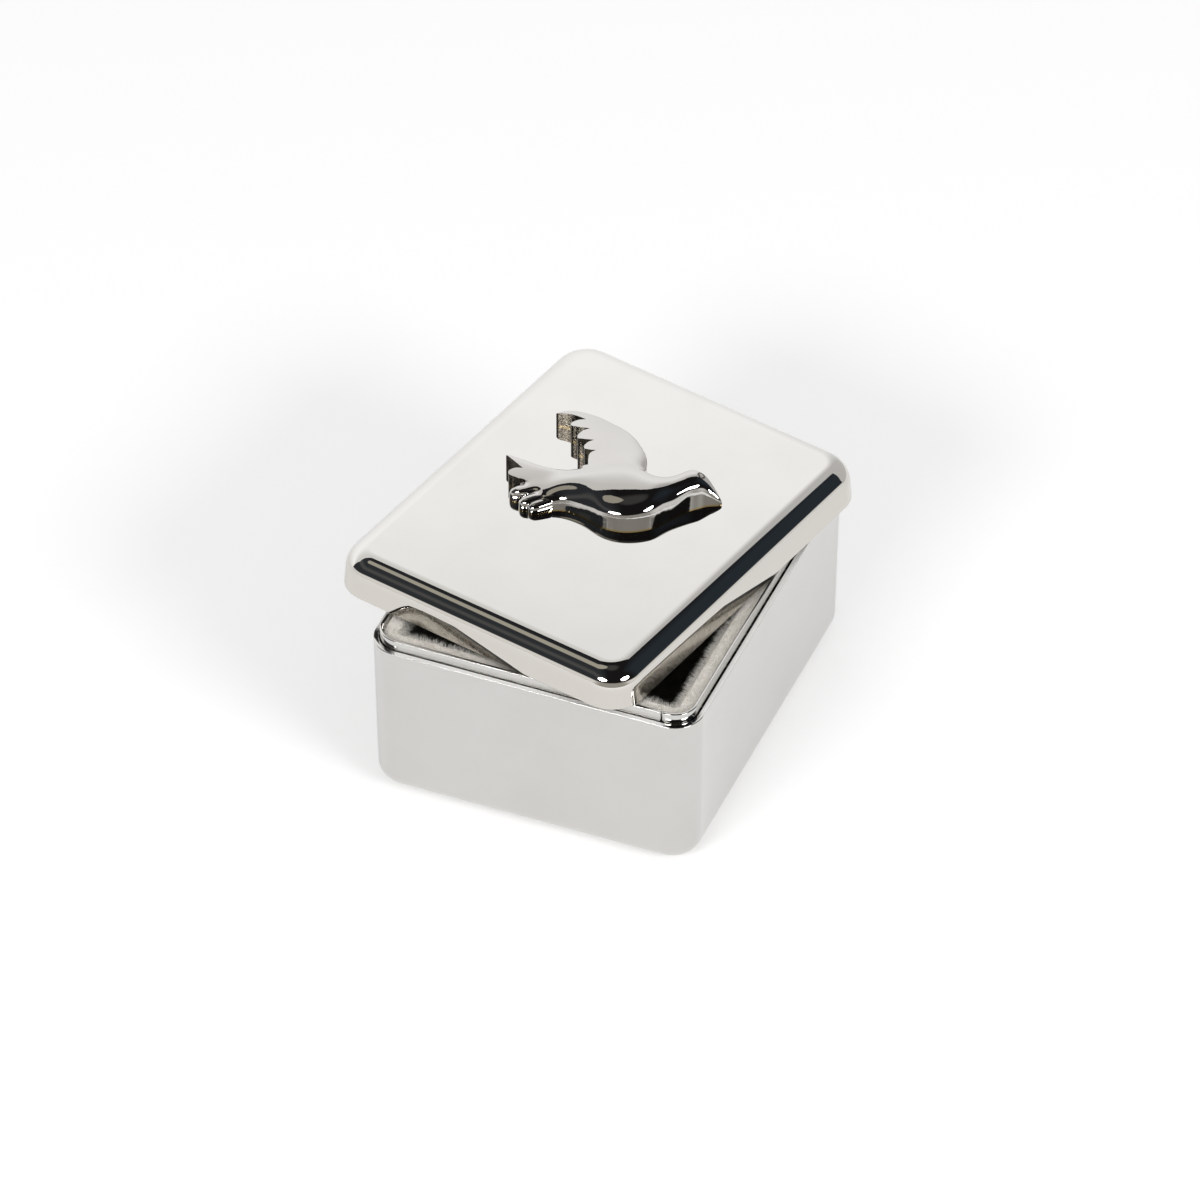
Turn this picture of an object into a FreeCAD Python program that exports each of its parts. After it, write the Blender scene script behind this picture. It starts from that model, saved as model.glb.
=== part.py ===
import FreeCAD, Part
import math
import os

import Sketcher

# A small keepsake box: a plated metal box with a thin collar inside its rim, a velvet lining, felt
# under its base, and a loose cap lid that carries a cast dove. The lid lies turned on the collar.
# Frame: millimetres, origin at the centre of the felt's underside, +Z up, front towards -Y.

SIZES = (
    ("box_width", 60.0, "outside width at the rim, along X"),
    ("box_depth", 73.0, "outside depth at the rim, along Y"),
    ("box_height", 31.3, "metal base to the ledge of the rim"),
    ("box_wall", 1.0, "sheet of the box, and so the width of its ledge"),
    ("box_corner", 5.3, "radius of the upright edges at the rim"),
    ("box_foot", 3.8, "radius of the edge round the base"),
    ("box_draft", 0.46, "how far each wall leans in from rim to base"),
    ("least_corner", 0.4, "smallest radius left on an inner upright edge"),
    ("felt_thick", 0.6, "felt under the base"),
    ("felt_margin", 1.0, "felt edge back from the base's rounded edge"),
    ("collar_thick", 0.6, "strip of the collar"),
    ("collar_rise", 1.95, "collar above the ledge"),
    ("collar_depth", 7.0, "collar below the ledge"),
    ("collar_fit", 0.05, "play between collar and wall at the collar's foot"),
    ("collar_joint", 0.15, "open butt joint of the bent strip"),
    ("joint_inset", 6.1, "butt joint from the box's right side"),
    ("lining_fit", 0.05, "play behind the lining card and round the floor pad"),
    ("card_thick", 0.8, "card behind the wall velvet"),
    ("velvet_thick", 1.6, "wall velvet with its pile"),
    ("velvet_drop", 0.5, "wall velvet's top below the collar's top"),
    ("velvet_roll", 0.6, "radius where the velvet turns over the card"),
    ("floor_card_thick", 1.2, "card under the floor velvet"),
    ("floor_velvet_thick", 2.0, "floor velvet with its pile"),
    ("lid_wall", 1.0, "sheet of the lid"),
    ("lid_height", 7.3, "skirt's lower edge to the lid's top"),
    ("lid_clearance", 0.42, "play between skirt and collar, each side"),
    ("lid_edge", 3.9, "radius round the lid's top"),
    ("lid_corner", 6.2, "radius of the lid's upright edges at the skirt's foot"),
    ("lid_draft", 0.49, "how far each skirt leans in from lower edge to top"),
    ("lid_turn", -12.8, "degrees that the lid lies turned on the collar"),
    ("lid_shift_x", -3.0, "lid's centre from the box's, along X"),
    ("lid_shift_y", 3.05, "lid's centre from the box's, along Y"),
    ("lid_card_thick", 0.8, "card inside the lid, round the dove's clips"),
    ("lid_velvet_thick", 1.0, "velvet over the lid's card"),
    ("dove_turn", 30.0, "degrees from the lid's width to the dove's flight"),
    ("dove_plate", 3.0, "wing and tail above the lid"),
    ("dove_rim", 0.5, "radius along the wing's and tail's upper edge"),
    ("pin_radius", 1.0, "fixing pins cast under the dove"),
    ("pin_back", -7.0, "rear pin, along the flight"),
    ("pin_back_side", 1.2, "rear pin, towards the wing"),
    ("pin_front", 8.0, "front pin, along the flight"),
    ("pin_front_side", -0.6, "front pin, towards the wing"),
    ("pin_tail", 0.25, "pin past its clip"),
    ("pin_fit", 0.05, "play of a pin in the lid"),
    ("clip_radius", 2.6, "push-on clip, outside"),
    ("clip_thick", 0.4, "push-on clip, sheet"),
    ("clip_room", 0.3, "play of a clip in the lid's card"),
)

# The dove, in its own axes: u along its flight from tail to beak, v towards the wing.
# Body sections from the tail's root to the beak: u, lower edge v, upper edge v, height.
BODY_SECTIONS = (
    (-12.5, -2.9, 5.2, 2.8),
    (-10.0, -3.1, 5.2, 3.3),
    (-6.0, -2.4, 4.9, 3.9),
    (-2.0, -4.2, 5.3, 4.9),
    (2.0, -6.6, 6.0, 5.7),
    (5.5, -7.1, 6.2, 5.9),
    (9.3, -5.9, 5.1, 5.6),
    (12.3, -3.2, 5.6, 5.1),
    (15.2, -0.8, 7.2, 5.1),
    (18.2, 0.9, 5.9, 4.0),
    (20.3, 1.3, 2.9, 1.6),
    (20.9, 1.4, 1.9, 0.7),
)
# The wing's and the tail's outlines, as u and v: smooth edges, and the notched row of feather tips.
WING_FRONT = (
    (7.2, 3.0), (7.6, 7.5), (6.3, 12.0), (4.0, 15.6), (0.6, 18.5), (-3.3, 20.6), (-6.8, 21.2), (-8.7, 20.1)
)
WING_FEATHERS = (
    (-3.8, 18.4), (-6.3, 16.4), (-2.9, 15.5), (-4.8, 12.8), (-1.9, 12.1), (-3.4, 9.9), (-1.3, 9.0)
)
WING_ROOT = ((-2.2, 4.6), (-2.2, 3.0))
TAIL_UPPER = ((-3.0, 4.4), (-6.0, 4.6), (-9.7, 5.6), (-13.2, 7.3), (-16.3, 8.3))
TAIL_FEATHERS = (
    (-13.5, 5.0), (-15.9, 3.4), (-12.4, 1.7), (-15.5, 0.2), (-12.3, -0.9), (-13.8, -2.7), (-11.6, -2.3)
)
TAIL_LOWER = ((-11.8, -3.6), (-9.0, -3.1), (-6.0, -2.0), (-3.0, -1.4))
PINS = ("pin_back", "pin_front")

FLAT = 1e-4
UP = FreeCAD.Vector(0, 0, 1)

doc = FreeCAD.newDocument("keepsake_box")
sheet = doc.addObject("Spreadsheet::Sheet", "Sizes")
for row, (alias, value, note) in enumerate(SIZES, start=1):
    sheet.set(f"A{row}", alias)
    sheet.set(f"B{row}", str(value))
    sheet.setAlias(f"B{row}", alias)
    sheet.set(f"C{row}", note)
doc.recompute()

# Insets of the nested rings, measured inwards from the outside of the rim.
COLLAR_SEAT = "(Sizes.box_wall + Sizes.box_draft * Sizes.collar_depth / Sizes.box_height)"
COLLAR_OUTSIDE = f"({COLLAR_SEAT} + Sizes.collar_fit)"
COLLAR_INSIDE = f"({COLLAR_OUTSIDE} + Sizes.collar_thick)"
CARD_OUTSIDE = f"({COLLAR_INSIDE} + Sizes.lining_fit)"
CARD_INSIDE = f"({CARD_OUTSIDE} + Sizes.card_thick)"
VELVET_INSIDE = f"({CARD_INSIDE} + Sizes.velvet_thick)"
PAD_OUTSIDE = f"({VELVET_INSIDE} + Sizes.lining_fit)"
BASE_INSET = "(Sizes.box_draft + Sizes.box_foot)"
SKIRT_INSET = f"({COLLAR_OUTSIDE} - Sizes.lid_clearance - Sizes.lid_wall)"
LID_FLAT_INSET = f"({SKIRT_INSET} + Sizes.lid_draft + Sizes.lid_edge)"

# Radii of the upright edges, each brought to the outside of the rim.
BOX_CORNER = "Sizes.box_corner"
LID_CORNER = f"(Sizes.lid_corner + {SKIRT_INSET})"

# Heights above the surface that the box stands on.
FLOOR = "(Sizes.felt_thick + Sizes.box_wall)"
LEDGE = "(Sizes.felt_thick + Sizes.box_height)"
COLLAR_TOP = f"({LEDGE} + Sizes.collar_rise)"
LINING_FOOT = "(Sizes.felt_thick + Sizes.box_foot)"
CARD_TOP = f"({COLLAR_TOP} - Sizes.velvet_drop - Sizes.velvet_thick / 2)"
VELVET_TOP = f"({COLLAR_TOP} - Sizes.velvet_drop)"
LID_CEILING = "(Sizes.lid_height - Sizes.lid_wall)"


def number(expression):
    """The present value of an expression on the sheet."""
    return float(sheet.evalExpression(expression))


def new_body(name):
    body = doc.addObject("PartDesign::Body", name)
    body.Label = name
    return body


def new_sketch(body, name, height="0"):
    """An empty sketch on the body's own level plane, lifted to a height."""
    sketch = body.newObject("Sketcher::SketchObject", name)
    plane = next(item for item in body.Origin.OriginFeatures if item.Role == "XY_Plane")
    sketch.AttachmentSupport = [(plane, "")]
    sketch.MapMode = "FlatFace"
    sketch.setExpression("AttachmentOffset.Base.z", height)
    return sketch


def drive(sketch, constraint, name, expression):
    """Adds a dimension to a sketch and ties it to the sheet."""
    index = sketch.addConstraint(constraint)
    sketch.renameConstraint(index, name)
    sketch.setExpression(f"Constraints.{name}", expression)


def rounded_loop(sketch, name, inset, rim_corner=BOX_CORNER):
    """A rounded rectangle parallel to the rim, at an inset, centred on the sketch's origin."""
    width = f"Sizes.box_width - 2 * {inset}"
    depth = f"Sizes.box_depth - 2 * {inset}"
    radius = f"max({rim_corner} - {inset}; Sizes.least_corner)"
    corner = number(radius)
    side = number(width) / 2
    end = number(depth) / 2
    first = sketch.GeometryCount
    turns = ((1, -1), (1, 1), (-1, 1), (-1, -1))
    starts = ((-1, -1), (1, -1), (1, 1), (-1, 1))
    for quarter, ((sx, sy), (ex, ey)) in enumerate(zip(starts, turns)):
        along_x = quarter % 2 == 0
        gap_x = corner if along_x else 0
        gap_y = 0 if along_x else corner
        begin = FreeCAD.Vector(sx * (side - gap_x), sy * (end - gap_y), 0)
        finish = FreeCAD.Vector(ex * (side - gap_x), ey * (end - gap_y), 0)
        sketch.addGeometry(Part.LineSegment(begin, finish))
        centre = FreeCAD.Vector(ex * (side - corner), ey * (end - corner), 0)
        circle = Part.Circle(centre, UP, corner)
        turn = (quarter - 1) * math.pi / 2
        sketch.addGeometry(Part.ArcOfCircle(circle, turn, turn + math.pi / 2))
    front, front_right, right, back_right, back, back_left, left, front_left = range(first, first + 8)
    loop = (front, front_right, right, back_right, back, back_left, left, front_left)
    for item, following in zip(loop, loop[1:] + loop[:1]):
        sketch.addConstraint(Sketcher.Constraint("Tangent", item, 2, following, 1))
    for line in (front, back):
        sketch.addConstraint(Sketcher.Constraint("Horizontal", line))
    for line in (right, left):
        sketch.addConstraint(Sketcher.Constraint("Vertical", line))
    for arc in (back_right, back_left, front_left):
        sketch.addConstraint(Sketcher.Constraint("Equal", front_right, arc))
    sketch.addConstraint(Sketcher.Constraint("Symmetric", front_right, 3, back_left, 3, -1, 1))
    drive(sketch, Sketcher.Constraint("DistanceX", left, 1, right, 1, 2 * side), f"{name}_width", width)
    drive(sketch, Sketcher.Constraint("DistanceY", front, 1, back, 1, 2 * end), f"{name}_depth", depth)
    drive(sketch, Sketcher.Constraint("Radius", front_right, corner), f"{name}_radius", radius)


def add_pad(body, sketch, name, length, taper="0"):
    pad = body.newObject("PartDesign::Pad", name)
    pad.Profile = sketch
    pad.setExpression("Length", length)
    pad.setExpression("TaperAngle", taper)
    doc.recompute()
    return pad


def edges_at(feature, height):
    """Names of the edges of a feature that lie level at a height."""
    names = []
    for index, edge in enumerate(feature.Shape.Edges, start=1):
        box = edge.BoundBox
        if abs(box.ZMin - height) < FLAT and abs(box.ZMax - height) < FLAT:
            names.append(f"Edge{index}")
    return names


def add_fillet(body, feature, edges, name, radius):
    fillet = body.newObject("PartDesign::Fillet", name)
    fillet.Base = (feature, edges)
    fillet.setExpression("Radius", radius)
    doc.recompute()
    return fillet


def lift(body, height):
    body.setExpression("Placement.Base.z", height)
    doc.recompute()


def turn_on_axis(part, turn):
    """Turns a piece about its upright axis, by degrees on the sheet."""
    part.Placement.Rotation = FreeCAD.Rotation(UP, number(turn))
    part.setExpression("Placement.Rotation.Angle", f"({turn}) * 1 deg")


def lay_on_collar(part, height="0", turn="0"):
    """Places a piece of the lid, made about the lid's own centre, where the lid lies."""
    turn_on_axis(part, f"Sizes.lid_turn + {turn}")
    part.setExpression("Placement.Base.x", "Sizes.lid_shift_x")
    part.setExpression("Placement.Base.y", "Sizes.lid_shift_y")
    part.setExpression("Placement.Base.z", f"{COLLAR_TOP} + {height}")
    doc.recompute()


def pin_circles(sketch, name, radius):
    """One circle round each fixing pin, on the dove's own axes."""
    for pin in PINS:
        along = f"Sizes.{pin}"
        across = f"Sizes.{pin}_side"
        centre = FreeCAD.Vector(number(along), number(across), 0)
        ring = sketch.addGeometry(Part.Circle(centre, UP, number(radius)))
        place = f"{name}_{pin}"
        drive(sketch, Sketcher.Constraint("DistanceX", -1, 1, ring, 3, centre.x), f"{place}_x", along)
        drive(sketch, Sketcher.Constraint("DistanceY", -1, 1, ring, 3, centre.y), f"{place}_y", across)
        drive(sketch, Sketcher.Constraint("Radius", ring, number(radius)), f"{place}_radius", radius)


def peg_body(name, foot_height, length, radius, bore=None):
    """One peg, or one ring where it has a bore, round each fixing pin."""
    body = new_body(name)
    body.AllowCompound = True
    plan = new_sketch(body, f"{name}_plan", foot_height)
    pin_circles(plan, "rim", radius)
    if bore:
        pin_circles(plan, "bore", bore)
    add_pad(body, plan, f"{name}_pegs", length)
    return body


def blank_body(name, inset, foot_height, length, taper, rounded_height, radius, rim_corner=BOX_CORNER):
    """A solid block with leaning walls and one rounded rim, as a press tool has."""
    body = new_body(name)
    outline = new_sketch(body, f"{name}_plan", foot_height)
    rounded_loop(outline, "foot", inset, rim_corner)
    block = add_pad(body, outline, f"{name}_block", length, taper)
    add_fillet(body, block, edges_at(block, number(rounded_height)), f"{name}_rim", radius)
    return body


def cut_away(label, base, tool):
    """What is left of one solid when another is taken away from it."""
    cut = doc.addObject("Part::Cut", label)
    cut.Label = label
    cut.Base = base
    cut.Tool = tool
    doc.recompute()
    if cut.Shape.Volume >= base.Shape.Volume:
        raise RuntimeError(f"nothing was cut from {label}")
    return cut


# The box: one sheet drawn to a tub, with leaning walls and a rounded foot. The room inside it runs
# on past the rim by a sheet's thickness, so that the tub is open.
lean = "atan(Sizes.box_draft / Sizes.box_height)"
box_blank = blank_body("box_blank", "Sizes.box_draft", "0", "Sizes.box_height", lean, "0", "Sizes.box_foot")
room_inset = "(Sizes.box_wall + Sizes.box_draft * (1 - Sizes.box_wall / Sizes.box_height))"
room_foot = "max(Sizes.box_foot - Sizes.box_wall; Sizes.least_corner)"
box_room = blank_body(
    "box_room", room_inset, "Sizes.box_wall", "Sizes.box_height", lean, "Sizes.box_wall", room_foot
)
box_shell = cut_away("box_shell", box_blank, box_room)
lift(box_shell, "Sizes.felt_thick")


def ring_body(name, outside, inside, foot_height, top_height):
    """A straight ring between two insets and two heights."""
    body = new_body(name)
    section = new_sketch(body, f"{name}_plan", foot_height)
    rounded_loop(section, "outside", outside)
    rounded_loop(section, "inside", inside)
    add_pad(body, section, f"{name}_ring", f"{top_height} - {foot_height}")
    return body


def slab_body(name, inset, foot_height, thickness, rim_corner=BOX_CORNER):
    """A flat slab with the box's outline at an inset."""
    body = new_body(name)
    plan = new_sketch(body, f"{name}_plan", foot_height)
    rounded_loop(plan, "edge", inset, rim_corner)
    add_pad(body, plan, f"{name}_slab", thickness)
    return body


# The collar: a strip bent round the inside of the rim, its ends meeting in an open butt joint at the
# front. The joint is cut out of the whole ring, a little past both of its faces.
collar_foot = f"({LEDGE} - Sizes.collar_depth)"
collar_height = "(Sizes.collar_depth + Sizes.collar_rise)"
collar_ring = ring_body("collar_ring", COLLAR_OUTSIDE, COLLAR_INSIDE, collar_foot, COLLAR_TOP)
joint_gap = doc.addObject("Part::Box", "joint_gap")
joint_gap.setExpression("Length", "Sizes.collar_joint")
joint_gap.setExpression("Width", "Sizes.collar_thick + 2 * Sizes.collar_fit")
joint_gap.setExpression("Height", collar_height)
joint_left = "Sizes.box_width / 2 - Sizes.joint_inset - Sizes.collar_joint / 2"
joint_gap.setExpression("Placement.Base.x", joint_left)
joint_gap.setExpression("Placement.Base.y", f"{COLLAR_SEAT} - Sizes.box_depth / 2")
joint_gap.setExpression("Placement.Base.z", collar_foot)
collar = cut_away("collar", collar_ring, joint_gap)

# The wall lining: a card strip, and velvet that covers it and turns over its upper edge.
wall_card = ring_body("wall_card", CARD_OUTSIDE, CARD_INSIDE, LINING_FOOT, CARD_TOP)
wall_velvet = ring_body("wall_velvet", CARD_INSIDE, VELVET_INSIDE, LINING_FOOT, VELVET_TOP)
turnover = new_sketch(wall_velvet, "turnover_plan", CARD_TOP)
rounded_loop(turnover, "outside", CARD_OUTSIDE)
rounded_loop(turnover, "inside", VELVET_INSIDE)
turned = add_pad(wall_velvet, turnover, "turnover", f"{VELVET_TOP} - {CARD_TOP}")
add_fillet(wall_velvet, turned, edges_at(turned, number(VELVET_TOP)), "roll", "Sizes.velvet_roll")

# The floor pad: velvet over a card, laid in between the lined walls.
floor_card = slab_body("floor_card", PAD_OUTSIDE, FLOOR, "Sizes.floor_card_thick")
floor_card_top = f"({FLOOR} + Sizes.floor_card_thick)"
floor_velvet = slab_body("floor_velvet", PAD_OUTSIDE, floor_card_top, "Sizes.floor_velvet_thick")

# The felt glued under the flat of the base.
base_felt = slab_body("base_felt", f"({BASE_INSET} + Sizes.felt_margin)", "0", "Sizes.felt_thick")

# The lid: one sheet drawn to a shallow cap, with two small holes for the dove's pins. The room inside
# it starts a sheet's thickness below the skirt, so that the cap is open.
skirt_lean = "-atan(Sizes.lid_draft / Sizes.lid_height)"
lid_blank = blank_body(
    "lid_blank", SKIRT_INSET, "0", "Sizes.lid_height", skirt_lean,
    "Sizes.lid_height", "Sizes.lid_edge", LID_CORNER,
)
hollow_inset = f"({SKIRT_INSET} + Sizes.lid_wall * (1 - Sizes.lid_draft / Sizes.lid_height))"
hollow_edge = "max(Sizes.lid_edge - Sizes.lid_wall; Sizes.least_corner)"
lid_room = blank_body(
    "lid_room", hollow_inset, "-Sizes.lid_wall", "Sizes.lid_height", skirt_lean,
    LID_CEILING, hollow_edge, LID_CORNER,
)
lid_cap = cut_away("lid_cap", lid_blank, lid_room)
hole_pegs = peg_body("hole_pegs", LID_CEILING, "Sizes.lid_wall", "Sizes.pin_radius + Sizes.pin_fit")
turn_on_axis(hole_pegs, "Sizes.dove_turn")
lid_shell = cut_away("lid_shell", lid_cap, hole_pegs)
lay_on_collar(lid_shell)

# The lid's lining: a card with room for the clips, and velvet that covers both.
card_foot = f"({LID_CEILING} - Sizes.lid_card_thick)"
lining_inset = f"({LID_FLAT_INSET} + Sizes.lining_fit)"
card_blank = slab_body("card_blank", lining_inset, card_foot, "Sizes.lid_card_thick", LID_CORNER)
clip_room = "Sizes.clip_radius + Sizes.clip_room"
clip_rooms = peg_body("clip_rooms", card_foot, "Sizes.lid_card_thick", clip_room)
turn_on_axis(clip_rooms, "Sizes.dove_turn")
lid_card = cut_away("lid_card", card_blank, clip_rooms)
lay_on_collar(lid_card)
velvet_foot = f"({card_foot} - Sizes.lid_velvet_thick)"
lid_velvet = slab_body("lid_velvet", lining_inset, velvet_foot, "Sizes.lid_velvet_thick", LID_CORNER)
lay_on_collar(lid_velvet)

# The clips: two round spring washers pushed onto the dove's pins under the lid's sheet.
clip_foot = f"({LID_CEILING} - Sizes.clip_thick)"
clip_bore = "Sizes.pin_radius + Sizes.pin_fit"
dove_clips = peg_body("dove_clips", clip_foot, "Sizes.clip_thick", "Sizes.clip_radius", clip_bore)
lay_on_collar(dove_clips, turn="Sizes.dove_turn")


def smooth(points):
    """A curve through points of the dove's plan."""
    curve = Part.BSplineCurve()
    curve.interpolate([FreeCAD.Vector(u, v, 0) for u, v in points])
    return curve.toShape()


def straight(points):
    """Straight runs through points of the dove's plan."""
    places = [FreeCAD.Vector(u, v, 0) for u, v in points]
    return [Part.makeLine(start, finish) for start, finish in zip(places, places[1:])]


def rimmed_plate(edges, rounded):
    """A plate of the dove on the lid, its upper rim rounded along its first edges."""
    thickness = number("Sizes.dove_plate")
    solid = Part.Face(Part.Wire(edges)).extrude(FreeCAD.Vector(0, 0, thickness))
    rims = []
    for edge in rounded:
        middle = edge.valueAt((edge.FirstParameter + edge.LastParameter) / 2)
        middle.z = thickness
        spot = Part.Vertex(middle)
        rims += [rim for rim in solid.Edges if rim.distToShape(spot)[0] < FLAT]
    return solid.makeFillet(number("Sizes.dove_rim"), rims)


def body_section(u, low, high, height):
    """Half an ellipse across the dove's flight, closed along the lid's top."""
    middle = (low + high) / 2
    half = (high - low) / 2
    squeeze = FreeCAD.Matrix()
    squeeze.scale(1, 1, height / half)
    low_foot = FreeCAD.Vector(u, low, 0)
    high_foot = FreeCAD.Vector(u, high, 0)
    crest = FreeCAD.Vector(u, middle, half)
    dome = Part.Arc(low_foot, crest, high_foot).toShape().transformGeometry(squeeze)
    return Part.Wire([dome, Part.makeLine(high_foot, low_foot)])


# The dove: one casting, a domed body with a raised wing and a fanned tail, and two pins below.
wing_front = smooth(WING_FRONT)
wing_back = straight(WING_FRONT[-1:] + WING_FEATHERS + WING_ROOT + WING_FRONT[:1])
wing = rimmed_plate([wing_front] + wing_back, [wing_front])
tail_upper = smooth(TAIL_UPPER)
tail_lower = smooth(TAIL_LOWER)
tail_tips = straight(TAIL_UPPER[-1:] + TAIL_FEATHERS + TAIL_LOWER[:1])
tail_root = straight(TAIL_LOWER[-1:] + TAIL_UPPER[:1])
tail = rimmed_plate([tail_upper] + tail_tips + [tail_lower] + tail_root, [tail_upper, tail_lower])
trunk = Part.makeLoft([body_section(*section) for section in BODY_SECTIONS], True, False)
pin_length = number("Sizes.lid_wall + Sizes.clip_thick + Sizes.pin_tail")
pins = []
for pin in PINS:
    tip = FreeCAD.Vector(number(f"Sizes.{pin}"), number(f"Sizes.{pin}_side"), -pin_length)
    pins.append(Part.makeCylinder(number("Sizes.pin_radius"), pin_length, tip))
dove = doc.addObject("Part::Feature", "dove")
dove.Label = "dove"
dove.Shape = trunk.fuse([wing, tail] + pins).removeSplitter()
lay_on_collar(dove, height="Sizes.lid_height", turn="Sizes.dove_turn")

pieces = (
    box_shell, collar, wall_card, wall_velvet, floor_card, floor_velvet, base_felt,
    lid_shell, lid_card, lid_velvet, dove_clips, dove,
)
doc.recompute()
for item in doc.Objects:
    if "Invalid" in item.State or "Error" in item.State:
        raise RuntimeError(f"{item.Label} failed: {item.State}")
for piece in pieces:
    if piece.Shape.isNull() or not piece.Shape.isValid():
        raise RuntimeError(f"{piece.Label} has no valid shape")

os.makedirs("parts", exist_ok=True)
for piece in pieces:
    piece.Shape.exportStep(f"parts/{piece.Label}.step")
    print(f"{piece.Label}: {len(piece.Shape.Solids)} solid(s), {piece.Shape.Volume:.1f} mm3")
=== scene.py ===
import math

import bmesh
import bpy
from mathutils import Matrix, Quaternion, Vector


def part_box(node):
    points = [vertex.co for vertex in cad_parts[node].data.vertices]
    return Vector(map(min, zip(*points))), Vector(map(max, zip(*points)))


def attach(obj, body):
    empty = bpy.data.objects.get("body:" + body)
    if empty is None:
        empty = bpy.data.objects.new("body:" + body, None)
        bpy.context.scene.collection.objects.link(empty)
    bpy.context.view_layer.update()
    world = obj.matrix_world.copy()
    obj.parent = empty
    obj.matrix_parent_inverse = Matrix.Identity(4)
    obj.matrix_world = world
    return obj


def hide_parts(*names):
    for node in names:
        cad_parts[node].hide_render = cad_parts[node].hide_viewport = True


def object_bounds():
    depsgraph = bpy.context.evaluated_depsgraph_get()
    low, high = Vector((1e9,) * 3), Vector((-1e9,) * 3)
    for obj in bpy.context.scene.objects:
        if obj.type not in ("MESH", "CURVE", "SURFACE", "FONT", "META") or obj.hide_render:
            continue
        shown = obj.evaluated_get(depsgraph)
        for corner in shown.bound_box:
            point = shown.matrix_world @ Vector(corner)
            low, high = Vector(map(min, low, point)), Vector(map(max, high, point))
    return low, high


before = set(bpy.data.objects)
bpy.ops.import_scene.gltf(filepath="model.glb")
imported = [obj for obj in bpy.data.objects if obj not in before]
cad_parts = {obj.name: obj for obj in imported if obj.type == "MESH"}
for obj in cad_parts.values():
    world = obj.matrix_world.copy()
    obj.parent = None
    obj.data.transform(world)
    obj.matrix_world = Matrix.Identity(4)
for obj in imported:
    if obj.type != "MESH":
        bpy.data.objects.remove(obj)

cad_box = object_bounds()

# The felt under the base: one sheet of pressed black felt, cut to the flat of the base and glued on.
# Its edge is cut square and stays a little back from the box's rounded foot.
MM = 0.001
NEAR = 0.004 * MM
NEARLY_ALL = 0.9


def start_block(name, low, high):
    """A new block between two corners, left in edit mode with nothing selected."""
    bpy.ops.object.select_all(action="DESELECT")
    bpy.ops.mesh.primitive_cube_add(size=1, location=(low + high) / 2, scale=high - low)
    bpy.ops.object.transform_apply(location=True, rotation=True, scale=True)
    piece = bpy.context.object
    piece.name = name
    piece.data.name = name
    bpy.ops.object.mode_set(mode="EDIT")
    bpy.ops.mesh.select_all(action="DESELECT")
    return piece


def select(piece, kind, wanted):
    """Edit mode: selects the vertices, edges or faces that pass a test, and nothing else."""
    bpy.ops.mesh.select_mode(type=kind)
    bpy.ops.mesh.select_all(action="DESELECT")
    mesh = bmesh.from_edit_mesh(piece.data)
    parts = {"VERT": mesh.verts, "EDGE": mesh.edges, "FACE": mesh.faces}
    for part in parts[kind]:
        if wanted(part):
            part.select_set(True)
    bmesh.update_edit_mesh(piece.data)


def upright(edge):
    """True for an edge that stands up."""
    run = edge.verts[1].co - edge.verts[0].co
    return abs(run.z) > NEARLY_ALL * run.length


def level_at(height):
    """A test for edges and faces that lie level at a height."""
    return lambda part: all(abs(corner.co.z - height) < NEAR for corner in part.verts)


def round_edges(piece, wanted, radius, steps):
    """Edit mode: gives the edges that pass a test a round of that radius."""
    select(piece, "EDGE", wanted)
    bpy.ops.mesh.bevel(offset=radius, segments=steps, affect="EDGES", clamp_overlap=False)


def apply_modifier(piece, kind, **settings):
    """Object mode: adds a modifier, sets it and applies it."""
    bpy.ops.object.mode_set(mode="OBJECT")
    modifier = piece.modifiers.new(kind.lower(), kind)
    for name, value in settings.items():
        setattr(modifier, name, value)
    bpy.ops.object.modifier_apply(modifier=modifier.name)


class Wire:
    """A socket in a node tree. Arithmetic on it adds Math nodes, and node() adds any other node."""

    def __init__(self, tree, socket=None):
        self.tree = tree
        self.socket = socket

    def node(self, kind, settings=None, inputs=None, out=0):
        """Adds a node, sets its properties and inputs, and gives one of its outputs."""
        made = self.tree.nodes.new(kind)
        for name, value in (settings or {}).items():
            if name == "stops":
                ramp = made.color_ramp
                for stop, (place, colour) in zip(list(ramp.elements) + [None] * len(value), value):
                    stop = stop or ramp.elements.new(place)
                    stop.position = place
                    stop.color = colour
            else:
                setattr(made, name, value)
        for name, value in (inputs or {}).items():
            if isinstance(value, Wire):
                self.tree.links.new(value.socket, made.inputs[name])
            else:
                made.inputs[name].default_value = value
        return Wire(self.tree, made.outputs[out] if made.outputs else None)

    def sibling(self, name):
        """Another output of the same node."""
        return Wire(self.tree, self.socket.node.outputs[name])

    def math(self, operation, first, second=0.0, third=0.0):
        return self.node("ShaderNodeMath", {"operation": operation}, {0: first, 1: second, 2: third})

    def __add__(self, other):
        return self.math("ADD", self, other)

    def __sub__(self, other):
        return self.math("SUBTRACT", self, other)

    def __rsub__(self, other):
        return self.math("SUBTRACT", other, self)

    def __mul__(self, other):
        return self.math("MULTIPLY", self, other)

    def __truediv__(self, other):
        return self.math("DIVIDE", self, other)

    __radd__ = __add__
    __rmul__ = __mul__

    def step(self, low, high):
        """From 0 at low to 1 at high, smoothly."""
        settings = {"interpolation_type": "SMOOTHSTEP"}
        return self.node("ShaderNodeMapRange", settings, {"Value": self, "From Min": low, "From Max": high})

    def mix(self, first, second):
        """The first colour where this is 0, and the second where it is 1."""
        return self.node(
            "ShaderNodeMix", {"data_type": "RGBA"}, {"Factor": self, "A": first, "B": second}, out="Result"
        )


def new_finish(name):
    """An empty material, and a wire to add its nodes with."""
    finish = bpy.data.materials.new(name)
    finish.use_nodes = True
    finish.node_tree.nodes.clear()
    return finish, Wire(finish.node_tree)


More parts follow.
